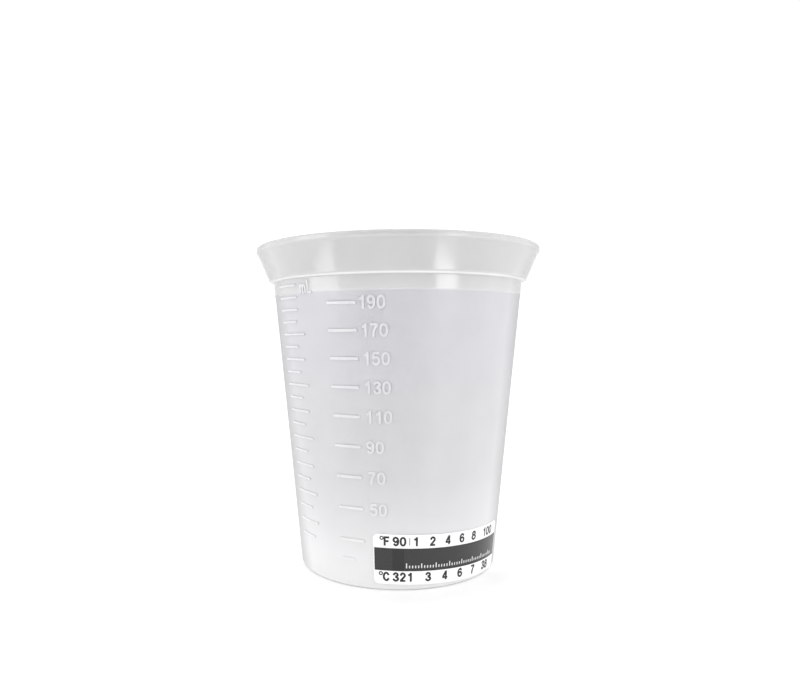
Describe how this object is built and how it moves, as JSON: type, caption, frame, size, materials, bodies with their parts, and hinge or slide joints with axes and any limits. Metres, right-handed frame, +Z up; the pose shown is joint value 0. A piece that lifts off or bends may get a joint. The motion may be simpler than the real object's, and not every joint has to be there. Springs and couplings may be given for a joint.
{
  "type": "graduated specimen cup",
  "caption": "Tapered translucent plastic specimen cup with a flared lip, raised graduation bars and a stuck-on strip thermometer near its foot.",
  "frame": {"origin": "centre of the foot, on the surface that the cup stands on", "axes": "+Z up along the cup's axis. -Y is the side with the scales and the label. +X is the label's far end."},
  "size_m": [0.076, 0.076, 0.086],
  "materials": {
    "cup": "milky translucent injection-moulded polypropylene with a soft gloss",
    "label": "white vinyl film with black print",
    "strip": "black-backed liquid crystal film with a satin face"
  },
  "bodies": {
    "root": {"cup": "cup", "temperature_label": "label", "liquid_crystal_strip": "strip"}
  },
  "joints": []
}
